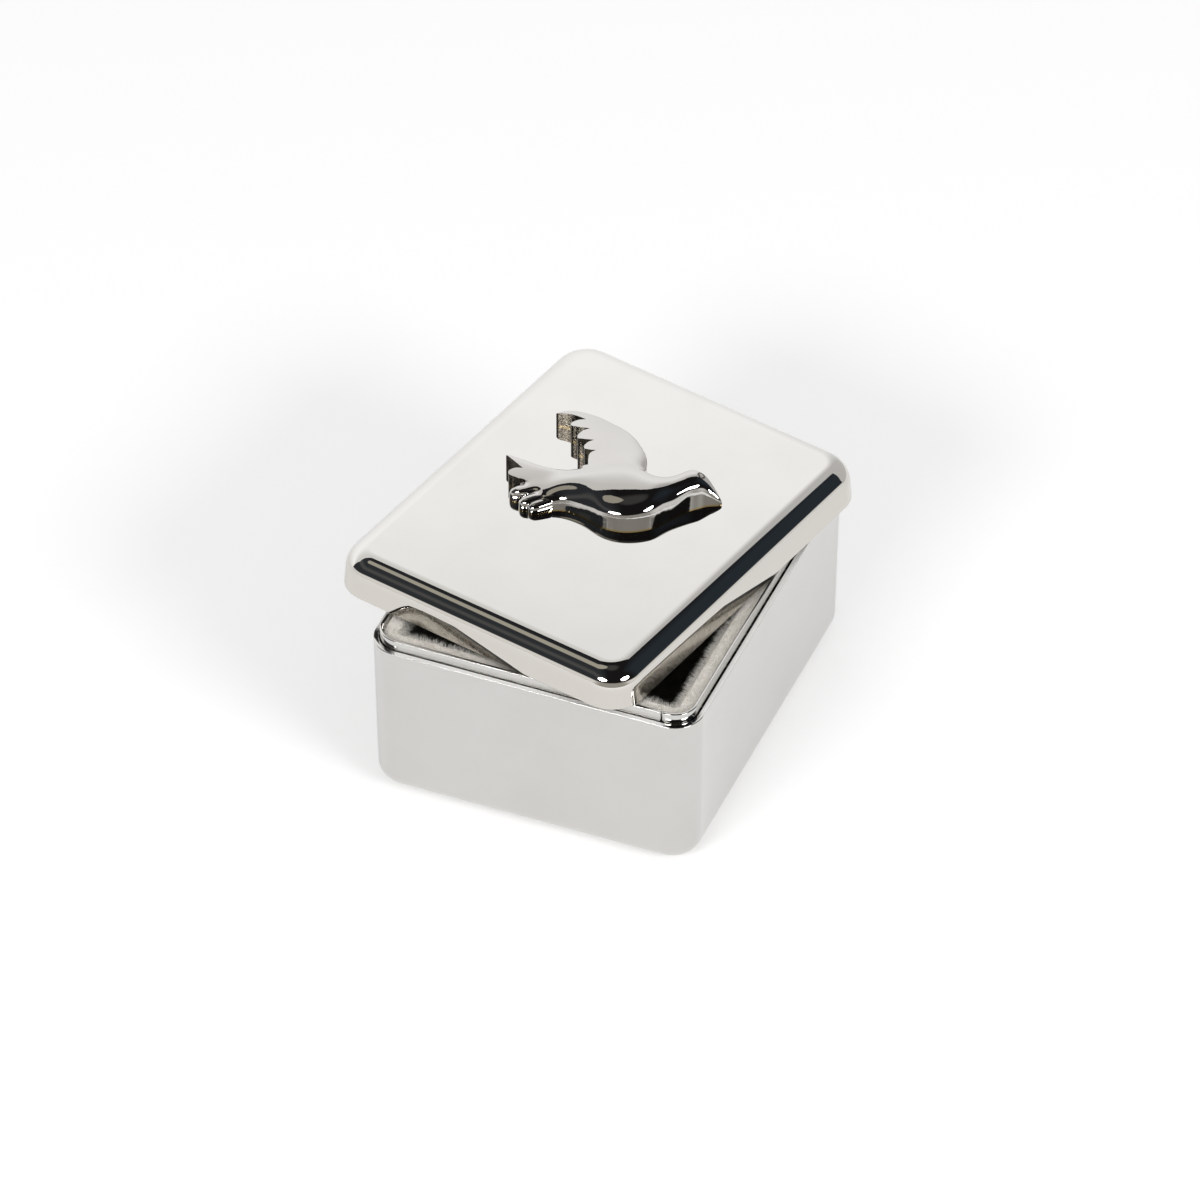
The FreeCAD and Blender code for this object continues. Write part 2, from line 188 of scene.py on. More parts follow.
def noise(place, per_metre, detail, **more):
    """Soft noise over a piece, with that many grains to a metre."""
    return place.node("ShaderNodeTexNoise", inputs={
        "Vector": place, "Scale": per_metre, "Detail": detail, **more})


def relief(height, strength, depth):
    """A fine relief of that depth, for a shader's Normal."""
    return height.node("ShaderNodeBump", inputs={"Strength": strength, "Distance": depth, "Height": height})


def close_finish(wire, surface):
    """Ends a material's nodes with its surface."""
    wire.node("ShaderNodeOutputMaterial", inputs={"Surface": surface})


def paint(piece, finish):
    """Gives the whole piece one finish."""
    piece.data.materials.clear()
    piece.data.materials.append(finish)


CORNER_STEPS = 24
FELT_CORNER = 0.4 * MM
FELT_STEPS = 4
FELT_DARK = (0.006, 0.006, 0.007, 1)
FELT_GREY = (0.028, 0.027, 0.027, 1)
FELT_ROUGH = 0.95
FELT_SHEEN = 0.2
FIBRES_PER_METRE = 2600
FIBRE_SPREAD = (0.4, 0.75)
FIBRE_STRENGTH = 0.6
FIBRE_DEPTH = 0.15 * MM
felt_low, felt_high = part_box("base_felt")
felt = start_block("felt", felt_low, felt_high)
round_edges(felt, upright, FELT_CORNER, FELT_STEPS)
bpy.ops.object.mode_set(mode="OBJECT")

felt_finish, wire = new_finish("pressed_felt")
place = wire.node("ShaderNodeTexCoord", out="Object")
fibre = noise(place, FIBRES_PER_METRE, detail=4, Distortion=2)
surface = wire.node("ShaderNodeBsdfPrincipled", inputs={
    "Base Color": fibre.step(*FIBRE_SPREAD).mix(FELT_DARK, FELT_GREY),
    "Roughness": FELT_ROUGH,
    "Sheen Weight": FELT_SHEEN,
    "Normal": relief(fibre, FIBRE_STRENGTH, FIBRE_DEPTH),
})
close_finish(wire, surface)
paint(felt, felt_finish)
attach(felt, "base")
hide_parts("base_felt")

# The box: one sheet of metal drawn to a tub, plated with silver and polished to a mirror. Its walls
# lean in a little towards the base, and its corners and foot are rounded. The ledge round the collar
# is rubbed matt along its straight runs, and there its colour is painted near white as a painted
# highlight.
SHEET = 1.0 * MM
BOX_CORNER = 5.3 * MM
BOX_FOOT = 3.8 * MM
BOX_DRAFT = 0.46 * MM
RIM_OUTER_ROUND = 0.16 * MM
RIM_INNER_ROUND = 0.2 * MM
RIM_STEPS = 4
RIM_REACH = 0.06 * MM
WALL_LIMIT = 0.7
FOOT_STEPS = 20
FLATS_FIRST = 100
box_low, box_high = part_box("box_shell")
box_size = box_high - box_low
box = start_block("box", box_low, box_high)
select(box, "FACE", level_at(box_low.z))
lean = Vector((1 - 2 * BOX_DRAFT / box_size.x, 1 - 2 * BOX_DRAFT / box_size.y, 1))
bpy.ops.transform.resize(value=lean, center_override=(0, 0, box_low.z))
round_edges(box, upright, BOX_CORNER, CORNER_STEPS)
round_edges(box, level_at(box_low.z), BOX_FOOT, FOOT_STEPS)
select(box, "FACE", level_at(box_high.z))
bpy.ops.mesh.delete(type="FACE")
apply_modifier(box, "SOLIDIFY", thickness=SHEET, offset=-1, use_even_offset=True)


def round_rim(piece, height):
    """Rounds both edges of the sheet's cut rim, which lies near a height."""
    def on_rim(outside):
        def wanted(edge):
            if any(abs(corner.co.z - height) > RIM_REACH for corner in edge.verts):
                return False
            walls = [face for face in edge.link_faces if abs(face.normal.z) < WALL_LIMIT]
            if len(walls) != 1:
                return False
            middle = (edge.verts[0].co + edge.verts[1].co) / 2
            return (walls[0].normal.xy.dot(middle.xy) > 0) == outside
        return wanted

    bpy.ops.object.mode_set(mode="EDIT")
    round_edges(piece, on_rim(True), RIM_OUTER_ROUND, RIM_STEPS)
    round_edges(piece, on_rim(False), RIM_INNER_ROUND, RIM_STEPS)


def polish(piece):
    """Object mode: smooth faces, with each flat kept a true flat for its reflections."""
    bpy.ops.object.mode_set(mode="OBJECT")
    bpy.ops.object.shade_smooth()
    apply_modifier(piece, "WEIGHTED_NORMAL", weight=FLATS_FIRST, keep_sharp=False)


SILVER = (0.607, 0.599, 0.583, 1)
SILVER_DULL = (0.592, 0.582, 0.565, 1)
LEDGE_PAINTED_HIGHLIGHT = (0.88, 0.87, 0.85, 1)
LEDGE_MATT = 0.85
LEDGE_ROUGH = 0.35
LEDGE_FROM = 0.05 * MM
LEDGE_TO = 0.01 * MM
LEDGE_FADE = 1.0 * MM
MIRROR_ROUGH = 0.025
HAZE_PER_METRE = 90
HAZE_TINT = (0.35, 0.75)
HAZE_SPREAD = (0.4, 0.7)
HAZE_ROUGH = 0.03
WIPE_PER_METRE = 700
WIPE_SPREAD = (0.5, 0.8)
WIPE_ROUGH = 0.02


def silver_plate(name, bright, dull):
    """Mirror silver plate, with a faint haze and wipe marks; gives its material and shader sockets."""
    finish, wire = new_finish(name)
    place = wire.node("ShaderNodeTexCoord", out="Object")
    haze = noise(place, HAZE_PER_METRE, detail=5)
    wipe = noise(place, WIPE_PER_METRE, detail=3, Distortion=1)
    colour = haze.step(*HAZE_TINT).mix(bright, dull)
    rough = MIRROR_ROUGH + HAZE_ROUGH * haze.step(*HAZE_SPREAD) + WIPE_ROUGH * wipe.step(*WIPE_SPREAD)
    return finish, wire, place, colour, rough


def mirror(wire, colour, rough, metallic=1.0, **more):
    """The shader of a polished metal."""
    return wire.node("ShaderNodeBsdfPrincipled", inputs={
        "Base Color": colour, "Roughness": rough, "Metallic": metallic, **more})


plate, wire, place, colour, rough = silver_plate("silver_plate", SILVER, SILVER_DULL)
close_finish(wire, mirror(wire, colour, rough))
rim_plate, wire, place, colour, rough = silver_plate("silver_plate_with_matt_ledge", SILVER, SILVER_DULL)
across = wire.node("ShaderNodeSeparateXYZ", inputs={0: place})
on_ledge = across.sibling("Z").step(box_high.z - LEDGE_FROM, box_high.z - LEDGE_TO)


def past_straight(run, end):
    """1 beyond the straight part of a wall that runs to an end."""
    straight = end - BOX_CORNER
    return run.math("ABSOLUTE", run).step(straight - LEDGE_FADE, straight + LEDGE_FADE)


in_corner = past_straight(across, box_high.x) * past_straight(across.sibling("Y"), box_high.y)
# Along the ledge's straight runs the plate is rubbed rougher and made less metallic, and its colour is
# painted near white as a painted highlight.
rubbed_with_painted_highlight = on_ledge * (1 - in_corner)
close_finish(wire, mirror(
    wire, rubbed_with_painted_highlight.mix(colour, LEDGE_PAINTED_HIGHLIGHT), rough + LEDGE_ROUGH * rubbed_with_painted_highlight, 1 - LEDGE_MATT * rubbed_with_painted_highlight))

round_rim(box, box_high.z)
polish(box)
paint(box, rim_plate)
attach(box, "base")
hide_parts("box_shell")

# The collar: a strip of the same plated metal, bent round the inside of the box's rim and butted at
# the front. It stands above the ledge, and the lid's skirt goes over it.
COLLAR_INSET = 1.153 * MM
COLLAR_THICK = 0.6 * MM
COLLAR_JOINT_X = 23.9 * MM
COLLAR_JOINT = 0.15 * MM
COLLAR_ROUND = 0.2 * MM
COLLAR_STEPS = 3
SHARP = math.radians(60)
collar_low, collar_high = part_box("collar")


def inset_block(name, inset, low, high):
    """A block that lies inside the box's rim by an inset, with the rim's corners rounded to suit."""
    half = Vector((box_size.x / 2 - inset, box_size.y / 2 - inset, 0))
    piece = start_block(name, Vector((0, 0, low)) - half, Vector((0, 0, high)) + half)
    round_edges(piece, upright, BOX_CORNER - inset, CORNER_STEPS)
    return piece


def open_ends(piece, low, high):
    """Edit mode: takes off a block's top and bottom, so that a wall stays."""
    select(piece, "FACE", lambda face: level_at(low)(face) or level_at(high)(face))
    bpy.ops.mesh.delete(type="FACE")


collar = inset_block("collar_strip", COLLAR_INSET, collar_low.z, collar_high.z)
open_ends(collar, collar_low.z, collar_high.z)
for side in (-0.5, 0.5):
    bpy.ops.mesh.select_all(action="SELECT")
    cut = (COLLAR_JOINT_X + side * COLLAR_JOINT, 0, 0)
    bpy.ops.mesh.bisect(plane_co=cut, plane_no=(1, 0, 0))


def in_joint(face):
    """True for the front wall's sliver between the strip's two ends."""
    middle = face.calc_center_median()
    return middle.y < 0 and abs(middle.x - COLLAR_JOINT_X) < COLLAR_JOINT / 2


select(collar, "FACE", in_joint)
bpy.ops.mesh.delete(type="FACE")
apply_modifier(collar, "SOLIDIFY", thickness=COLLAR_THICK, offset=-1, use_even_offset=True)
apply_modifier(
    collar, "BEVEL", width=COLLAR_ROUND, segments=COLLAR_STEPS, limit_method="ANGLE", angle_limit=SHARP
)
polish(collar)
paint(collar, plate)
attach(collar, "base")
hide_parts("collar")

# The linings' cards: grey board in three pieces, one scored and folded round the walls, one cut for the
# floor and one for the lid, each under its velvet.
CARD_PALE = (0.47, 0.40, 0.31, 1)
CARD_DARK = (0.30, 0.25, 0.19, 1)
CARD_SPREAD = (0.35, 0.7)
CARD_ROUGH = 0.85
PULP_PER_METRE = 900
PULP_SHARE = 0.6
PULP_ROUGH = 0.1
FLECKS_PER_METRE = 3500
FLECK_STRENGTH = 0.4
FLECK_DEPTH = 0.05 * MM
card_finish, wire = new_finish("grey_board")
place = wire.node("ShaderNodeTexCoord", out="Object")
pulp = noise(place, PULP_PER_METRE, detail=6, Roughness=0.7)
flecks = noise(place, FLECKS_PER_METRE, detail=2, Distortion=3)
mottle = PULP_SHARE * pulp + (1 - PULP_SHARE) * flecks
surface = wire.node("ShaderNodeBsdfPrincipled", inputs={
    "Base Color": mottle.step(*CARD_SPREAD).mix(CARD_DARK, CARD_PALE),
    "Roughness": CARD_ROUGH + PULP_ROUGH * pulp,
    "Normal": relief(flecks, FLECK_STRENGTH, FLECK_DEPTH),
})
close_finish(wire, surface)
for node in ("wall_card", "floor_card", "lid_card"):
    paint(bpy.data.objects[node], card_finish)

# The wall lining: grey velvet glued to the card and turned out over its top, with a thick pale pile
# that stands up from the cloth and bristles along the edge. The cloth is painted paler along its top
# edge as painted light, and darker below as painted shade.
CARD_OUTSIDE = 1.85 * MM
CARD_INSIDE = 2.62 * MM
CLOTH_INSIDE = 4.4 * MM
CLOTH_SUNK = 0.45 * MM
CLOTH_ROLL = 0.45 * MM
CLOTH_STEPS = 5
PILE_LENGTH = 1.7 * MM
PILE_SHORTEST = 0.55
PILE_LONGEST = 1.15
PILE_ON_TOP = 0.45
PILE_RADIUS = 0.07 * MM
PILE_PER_SQUARE_METRE = 24e6
PILE_LEAN = 0.55
PILE_DEPTH = 1.5 * MM
FACES_UP = 0.3
ROOT_SEED = 7
LEAN_SEED = 3
LENGTH_SEED = 5
CREASE = math.radians(40)
card_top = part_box("wall_card")[1].z
velvet_low, velvet_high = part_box("wall_velvet")
cloth_top = velvet_high.z - CLOTH_SUNK
velvet_wall = inset_block("velvet_wall", CARD_OUTSIDE, card_top, cloth_top)
select(velvet_wall, "FACE", level_at(card_top))
bpy.ops.mesh.inset(thickness=CARD_INSIDE - CARD_OUTSIDE)
bpy.ops.mesh.extrude_region_move(TRANSFORM_OT_translate={"value": (0, 0, velvet_low.z - card_top)})
bpy.ops.mesh.inset(thickness=CLOTH_INSIDE - CARD_INSIDE)
bpy.ops.mesh.delete(type="ONLY_FACE")
select(velvet_wall, "FACE", level_at(cloth_top))
bpy.ops.mesh.inset(thickness=CLOTH_INSIDE - CARD_OUTSIDE)
bpy.ops.mesh.delete(type="ONLY_FACE")
select(velvet_wall, "EDGE", lambda edge: edge.is_boundary)
bpy.ops.mesh.bridge_edge_loops()
bpy.ops.mesh.select_all(action="SELECT")
bpy.ops.mesh.normals_make_consistent(inside=False)


def round_flat(piece, height, radius, steps):
    """Edit mode: rounds the edges between a level face at a height and the walls that meet it."""
    def on_edge(edge):
        levels = [abs(face.normal.z) > NEARLY_ALL for face in edge.link_faces]
        return level_at(height)(edge) and True in levels and False in levels

    round_edges(piece, on_edge, radius, steps)


round_flat(velvet_wall, cloth_top, CLOTH_ROLL, CLOTH_STEPS)
bpy.ops.mesh.select_all(action="SELECT")
bpy.ops.mesh.bisect(plane_co=(0, 0, cloth_top - PILE_DEPTH), plane_no=(0, 0, 1))


def bears_pile(face):
    """True for the cloth's turned-over top and the upper part of its inner wall."""
    middle = face.calc_center_median()
    inward = face.normal.x * middle.x + face.normal.y * middle.y < 0
    return middle.z > cloth_top - PILE_DEPTH and (face.normal.z > FACES_UP or inward)


select(velvet_wall, "FACE", bears_pile)
bpy.ops.mesh.duplicate()
bpy.ops.mesh.separate(type="SELECTED")
bpy.ops.object.mode_set(mode="OBJECT")
pile = (set(bpy.context.selected_objects) - {velvet_wall}).pop()
pile.name = "velvet_pile"


def number_by_place(piece):
    """Object mode: numbers points and faces by their place, so that the pile grows alike each time."""
    loose = piece.data
    places = [tuple(point.co) for point in loose.vertices]
    order = sorted(range(len(places)), key=places.__getitem__)
    rank = {old: new for new, old in enumerate(order)}
    rings = []
    for face in loose.polygons:
        ring = [rank[point] for point in face.vertices]
        first = ring.index(min(ring))
        rings.append(ring[first:] + ring[:first])
    piece.data = bpy.data.meshes.new("numbered")
    piece.data.from_pydata([places[old] for old in order], [], sorted(rings))
    bpy.data.meshes.remove(loose)
    piece.data.name = piece.name


number_by_place(pile)
growth = bpy.data.node_groups.new("pile_growth", "GeometryNodeTree")
growth.interface.new_socket("Geometry", in_out="INPUT", socket_type="NodeSocketGeometry")
growth.interface.new_socket("Geometry", in_out="OUTPUT", socket_type="NodeSocketGeometry")
wire = Wire(growth)
roots = wire.node("GeometryNodeDistributePointsOnFaces", inputs={
    "Mesh": wire.node("NodeGroupInput"), "Density": PILE_PER_SQUARE_METRE, "Seed": ROOT_SEED})
tuft = wire.node("GeometryNodeMeshCone", inputs={
    "Vertices": 3, "Radius Top": 0.0, "Radius Bottom": PILE_RADIUS, "Depth": PILE_LENGTH})
lean = wire.node("FunctionNodeRandomValue", {"data_type": "FLOAT_VECTOR"}, {
    0: (-PILE_LEAN, -PILE_LEAN, 0), 1: (PILE_LEAN, PILE_LEAN, math.tau), "Seed": LEAN_SEED})
length = wire.node("FunctionNodeRandomValue", {"data_type": "FLOAT"}, {
    2: PILE_SHORTEST, 3: PILE_LONGEST, "Seed": LENGTH_SEED}, out=1)
facing_up = wire.node("ShaderNodeSeparateXYZ", inputs={0: roots.sibling("Normal")}).sibling("Z")
length = length * (1 - (1 - PILE_ON_TOP) * facing_up)
stand = wire.node("FunctionNodeRotateRotation", {"rotation_space": "LOCAL"}, {
    "Rotation": roots.sibling("Rotation"), "Rotate By": lean})
tufts = wire.node("GeometryNodeInstanceOnPoints", inputs={
    "Points": roots, "Instance": tuft, "Rotation": stand, "Scale": length})
grown = wire.node("GeometryNodeRealizeInstances", inputs={"Geometry": tufts})
wire.node("NodeGroupOutput", inputs={"Geometry": grown})


def make_active(piece):
    """Object mode: selects one piece alone."""
    bpy.ops.object.select_all(action="DESELECT")
    piece.select_set(True)
    bpy.context.view_layer.objects.active = piece


make_active(pile)
apply_modifier(pile, "NODES", node_group=growth)
make_active(velvet_wall)
bpy.ops.object.shade_smooth_by_angle(angle=CREASE)

# The velvet's ground colours are kept dark: partly velvet's own dark look into its pile, partly painted
# shade for the dim inside of the box and the lid.
VELVET_SHADED_DEEP = (0.15, 0.14, 0.125, 1)
VELVET_SHADED_PALE = (0.32, 0.305, 0.275, 1)
PILE_WHITE = (0.98, 0.97, 0.945, 1)
PILE_GREY = (0.64, 0.625, 0.6, 1)
PILE_GLOW = 0.72
PILE_SHEEN = 0.9
VELVET_SHEEN = 0.25
PAINTED_LIGHT_PALE = (0.93, 0.90, 0.85, 1)
PAINTED_LIGHT_GREY = (0.83, 0.79, 0.73, 1)
PAINTED_LIGHT_DEPTH = 3.4 * MM
PAINTED_LIGHT_FADE = 1.6 * MM
VELVET_ROUGH = 0.9
SHEEN_ROUGH = 0.4
NAP_PER_METRE = 320
TUFTS_PER_METRE = 4200
LAY_SPREAD = (0.35, 0.68)
TUFT_STRENGTH = 0.7
TUFT_DEPTH = 0.12 * MM


def height_in(place):
    """How high a place on a piece lies."""
    return place.node("ShaderNodeSeparateXYZ", inputs={0: place}).sibling("Z")


def velvet_finish(name, deep, pale, sheen, through=0, edge=None):
    """Velvet that lies this way and that in patches. It may let light through, or be painted paler
    towards an edge as painted light.
    """
    finish, wire = new_finish(name)
    place = wire.node("ShaderNodeTexCoord", out="Object")
    nap = noise(place, NAP_PER_METRE, detail=3)
    tufts = noise(place, TUFTS_PER_METRE, detail=2)
    lay = (0.5 * nap + 0.5 * tufts).step(*LAY_SPREAD)
    colour = lay.mix(deep, pale)
    # Towards the top edge the cloth is painted paler, as painted light over the darker cloth below.
    if edge:
        painted_light_near_edge = height_in(place).step(edge - PAINTED_LIGHT_DEPTH - PAINTED_LIGHT_FADE, edge - PAINTED_LIGHT_DEPTH)
        colour = painted_light_near_edge.mix(colour, lay.mix(PAINTED_LIGHT_GREY, PAINTED_LIGHT_PALE))
    surface = wire.node("ShaderNodeBsdfPrincipled", inputs={
        "Base Color": colour,
        "Roughness": VELVET_ROUGH,
        "Sheen Weight": sheen,
        "Sheen Roughness": SHEEN_ROUGH,
        "Normal": relief(tufts, TUFT_STRENGTH, TUFT_DEPTH),
    })
    if through:
        lit = wire.node("ShaderNodeBsdfTranslucent", inputs={"Color": pale})
        surface = wire.node("ShaderNodeMixShader", inputs={0: through, 1: surface, 2: lit})
    close_finish(wire, surface)
    return finish


# The plain velvet, for the floor pad and the lid's lining, carries that partly painted shade.
velvet = velvet_finish("velvet", VELVET_SHADED_DEEP, VELVET_SHADED_PALE, VELVET_SHEEN)
paint(velvet_wall, velvet_finish("velvet_to_edge", VELVET_SHADED_DEEP, VELVET_SHADED_PALE, VELVET_SHEEN, edge=cloth_top))
paint(pile, velvet_finish("velvet_tips", PILE_GREY, PILE_WHITE, PILE_SHEEN, PILE_GLOW))
for piece in (velvet_wall, pile):
    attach(piece, "base")
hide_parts("wall_velvet")

# The floor pad: the same velvet glued over the floor's card, with its edge rolled down between the
# card and the wall lining.
PAD_CORNER = 1.05 * MM
PAD_CORNER_STEPS = 8
PAD_ROLL = 0.7 * MM
PAD_ROLL_STEPS = 6
PAD_TRIM = Vector((0.2, 0.2, 0)) * MM
pad_low, pad_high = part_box("floor_velvet")
velvet_floor = start_block("velvet_floor", pad_low + PAD_TRIM, pad_high - PAD_TRIM)
round_edges(velvet_floor, upright, PAD_CORNER, PAD_CORNER_STEPS)
round_flat(velvet_floor, pad_high.z, PAD_ROLL, PAD_ROLL_STEPS)
bpy.ops.object.mode_set(mode="OBJECT")
bpy.ops.object.shade_smooth_by_angle(angle=CREASE)
# Its velvet is kept dark, partly as painted shade.
paint(velvet_floor, velvet)
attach(velvet_floor, "base")
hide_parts("floor_velvet")

# The lid: one sheet drawn to a shallow cap, plated and polished like the box. It lies on the collar,
# turned a little, with the dove pinned to its top.
LID_TURN = math.radians(-12.8)
LID_CORNER = 6.2 * MM
LID_EDGE = 3.9 * MM
LID_DRAFT = 0.49 * MM
LID_OVERHANG = 0.267 * MM
lid_low, lid_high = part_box("lid_shell")
lid_middle = (lid_low + lid_high) / 2
half_lid = Vector((box_size.x / 2 + LID_OVERHANG, box_size.y / 2 + LID_OVERHANG, 0))
lid = start_block("lid", Vector((0, 0, lid_low.z)) - half_lid, Vector((0, 0, lid_high.z)) + half_lid)
select(lid, "FACE", level_at(lid_high.z))
lean = Vector((1 - LID_DRAFT / half_lid.x, 1 - LID_DRAFT / half_lid.y, 1))
bpy.ops.transform.resize(value=lean, center_override=(0, 0, lid_high.z))
round_edges(lid, upright, LID_CORNER, CORNER_STEPS)
round_edges(lid, level_at(lid_high.z), LID_EDGE, FOOT_STEPS)
select(lid, "FACE", level_at(lid_low.z))
bpy.ops.mesh.delete(type="FACE")
apply_modifier(lid, "SOLIDIFY", thickness=SHEET, offset=-1, use_even_offset=True)
round_rim(lid, lid_low.z)
polish(lid)


def lay_on_collar(piece, turn=0.0):
    """Object mode: takes a piece made about the lid's own axis to where the lid lies."""
    make_active(piece)
    piece.rotation_euler.z = LID_TURN + turn
    piece.location = Vector((lid_middle.x, lid_middle.y, 0))
    bpy.ops.object.transform_apply(location=True, rotation=True, scale=True)


lay_on_collar(lid)

LID_SILVER = (0.63, 0.622, 0.606, 1)
LID_DULL = (0.615, 0.605, 0.588, 1)
LID_PAINTED_WARM_REFLECTION = (0.62, 0.593, 0.553, 1)
lid_plate, wire, place, colour, rough = silver_plate("silver_plate_on_lid", LID_SILVER, LID_DULL)
# The lid's skirt and rounded edge are painted warmer than its top, as a painted warm reflection.
painted_reflection_on_skirt = 1 - height_in(place).step(lid_high.z - LID_EDGE, lid_high.z)
close_finish(wire, mirror(wire, painted_reflection_on_skirt.mix(colour, LID_PAINTED_WARM_REFLECTION), rough))
paint(lid, lid_plate)
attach(lid, "lid")
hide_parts("lid_shell")

# The lid's lining: a card that hides the dove's pins, with grey velvet glued over it and rolled round
# its edge.
LID_LINING_INSET = 4.173 * MM
LID_LINING_CORNER = 1.76 * MM
lining_low, lining_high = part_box("lid_velvet")
half_lining = Vector((box_size.x / 2 - LID_LINING_INSET, box_size.y / 2 - LID_LINING_INSET, 0))
velvet_lid = start_block(
    "velvet_lid", Vector((0, 0, lining_low.z)) - half_lining, Vector((0, 0, lining_high.z)) + half_lining
)
round_edges(velvet_lid, upright, LID_LINING_CORNER, PAD_CORNER_STEPS)
round_flat(velvet_lid, lining_low.z, CLOTH_ROLL, CLOTH_STEPS)
bpy.ops.object.mode_set(mode="OBJECT")
bpy.ops.object.shade_smooth_by_angle(angle=CREASE)
lay_on_collar(velvet_lid)
# Its velvet is kept dark, partly as painted shade.
paint(velvet_lid, velvet)
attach(velvet_lid, "lid")
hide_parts("lid_velvet")

# The clips: two push-on washers of rolled spring steel. Each grips one of the dove's pins under the lid
# and so holds the dove down.
STEEL_PALE = (0.52, 0.51, 0.50, 1)
STEEL_DARK = (0.38, 0.37, 0.36, 1)
STEEL_ROUGH = 0.28
ROLLED_GRAIN = (300, 9000, 9000)
GRAIN_SPREAD = (0.3, 0.7)
GRAIN_ROUGH = 0.2
clip_finish, wire = new_finish("rolled_spring_steel")
place = wire.node("ShaderNodeTexCoord", out="Object")
along = wire.node("ShaderNodeMapping", inputs={"Vector": place, "Scale": ROLLED_GRAIN})
grain = noise(along, per_metre=1.0, detail=3)
surface = wire.node("ShaderNodeBsdfPrincipled", inputs={
    "Base Color": grain.step(*GRAIN_SPREAD).mix(STEEL_DARK, STEEL_PALE),
    "Roughness": STEEL_ROUGH + GRAIN_ROUGH * grain,
    "Metallic": 1.0,
})
close_finish(wire, surface)
paint(bpy.data.objects["dove_clips"], clip_finish)

# The dove: a small cast bird, polished and plated like the box, with its wing and tail cut to feather
# tips. Two pins on its flat back go through the lid. It is shaped in its own axes: u runs along the
# flight to the beak, v towards the wing tip, both in millimetres.
DOVE_TURN = math.radians(30)
# Sections: how far along, front foot, crest, back foot, height, the flank's share of it, and its lean.
TRUNK_STATIONS = (
    (-12.0, -2.8, 2.0, 4.4, 2.0, 0.3, 0.24), (-10.0, -3.2, 2.0, 4.9, 2.8, 0.3, 0.27),
    (-6.5, -2.3, 2.4, 4.9, 3.9, 0.32, 0.24), (-3.0, -3.4, 2.6, 5.0, 4.7, 0.2, 0.09),
    (1.0, -6.2, 2.2, 8.0, 5.5, 0.4, 0.24), (5.0, -7.1, 2.0, 8.0, 5.75, 0.44, 0.29),
    (9.2, -5.9, 0.2, 5.2, 5.5, 0.42, 0.28), (12.3, -3.2, 1.4, 5.6, 5.0, 0.2, 0.19),
    (15.2, -0.8, 3.3, 7.2, 5.1, 0.52, 0.29), (16.9, 0.2, 3.6, 6.8, 4.85, 0.54, 0.29),
    (18.4, 0.95, 3.5, 5.7, 3.75, 0.56, 0.29), (20.3, 1.3, 2.1, 2.9, 1.6, 0.4, 0.2),
    (20.9, 1.4, 1.65, 1.9, 0.7, 0.3, 0.1),
)
WING_STATIONS = (
    (-1.5, -10.0, -1.3, 7.4, 4.6, 0.3, 0.1), (3.0, -10.0, -1.3, 7.4, 4.95, 0.3, 0.1),
    (7.5, -10.4, -1.7, 7.0, 4.95, 0.3, 0.1), (12.0, -9.1, -0.4, 8.3, 4.4, 0.3, 0.1),
    (15.6, -6.8, 1.8, 10.4, 3.95, 0.3, 0.1), (18.5, -3.5, 4.2, 12.0, 3.5, 0.3, 0.1),
    (22.0, 0.5, 7.0, 13.5, 2.8, 0.3, 0.1),
)
TAIL_STATIONS = (
    (-18.5, -3.0, 9.0, 21.0, 2.9, 0.1, 0.1), (-14.0, -3.0, 9.0, 21.0, 3.15, 0.1, 0.1),
    (-10.0, -3.0, 9.0, 21.0, 3.6, 0.1, 0.1), (-2.0, -3.0, 8.0, 19.0, 4.6, 0.1, 0.1),
)
FINGER_STATIONS = (
    (0.0, -1.25, 0.0, 1.25, 1.12, 0.45, 0.04), (3.4, -1.2, 0.0, 1.2, 1.0, 0.45, 0.04),
    (4.5, -1.0, 0.0, 1.0, 0.88, 0.45, 0.04), (5.1, -0.7, 0.0, 0.7, 0.7, 0.45, 0.04),
    (5.35, -0.35, 0.0, 0.35, 0.42, 0.45, 0.04),
)
# The three rounded lower tail feathers: root, tip and height.
FINGERS = (
    ((-9.8, 1.0), (-15.4, 0.1), 2.65), ((-9.0, -0.4), (-13.5, -2.4), 2.3),
    ((-8.4, -1.4), (-11.9, -3.2), 1.9),
)
# Outlines and cuts: each point, and whether the line turns sharply there or runs on smoothly.
WING_OUTLINE = (
    ((7.0, 2.0), "VECTOR"), ((7.2, 3.4), "AUTO"), ((7.6, 7.5), "AUTO"), ((6.3, 12.0), "AUTO"),
    ((4.0, 15.6), "AUTO"), ((0.6, 18.5), "AUTO"), ((-3.3, 20.6), "AUTO"), ((-6.8, 21.2), "AUTO"),
    ((-9.3, 20.4), "VECTOR"), ((-9.3, 18.2), "VECTOR"), ((-3.3, 5.0), "VECTOR"), ((-2.2, 3.0), "VECTOR"),
)
WING_NOTCHES = (
    ((-8.8, 20.2), "VECTOR"), ((-6.3, 19.7), "AUTO"), ((-3.8, 18.3), "VECTOR"), ((-5.4, 17.8), "AUTO"),
    ((-6.3, 16.7), "AUTO"), ((-5.2, 16.0), "AUTO"), ((-2.9, 15.4), "VECTOR"), ((-4.2, 14.6), "AUTO"),
    ((-4.8, 13.0), "AUTO"), ((-3.8, 12.5), "AUTO"), ((-1.9, 12.0), "VECTOR"), ((-3.0, 11.3), "AUTO"),
    ((-3.4, 9.9), "AUTO"), ((-2.6, 9.3), "AUTO"), ((-1.3, 8.9), "VECTOR"), ((-2.2, 8.2), "AUTO"),
    ((-2.4, 6.6), "AUTO"), ((-2.3, 5.0), "VECTOR"), ((-5.5, 5.4), "VECTOR"), ((-14.0, 19.0), "VECTOR"),
    ((-14.0, 24.0), "VECTOR"),
)
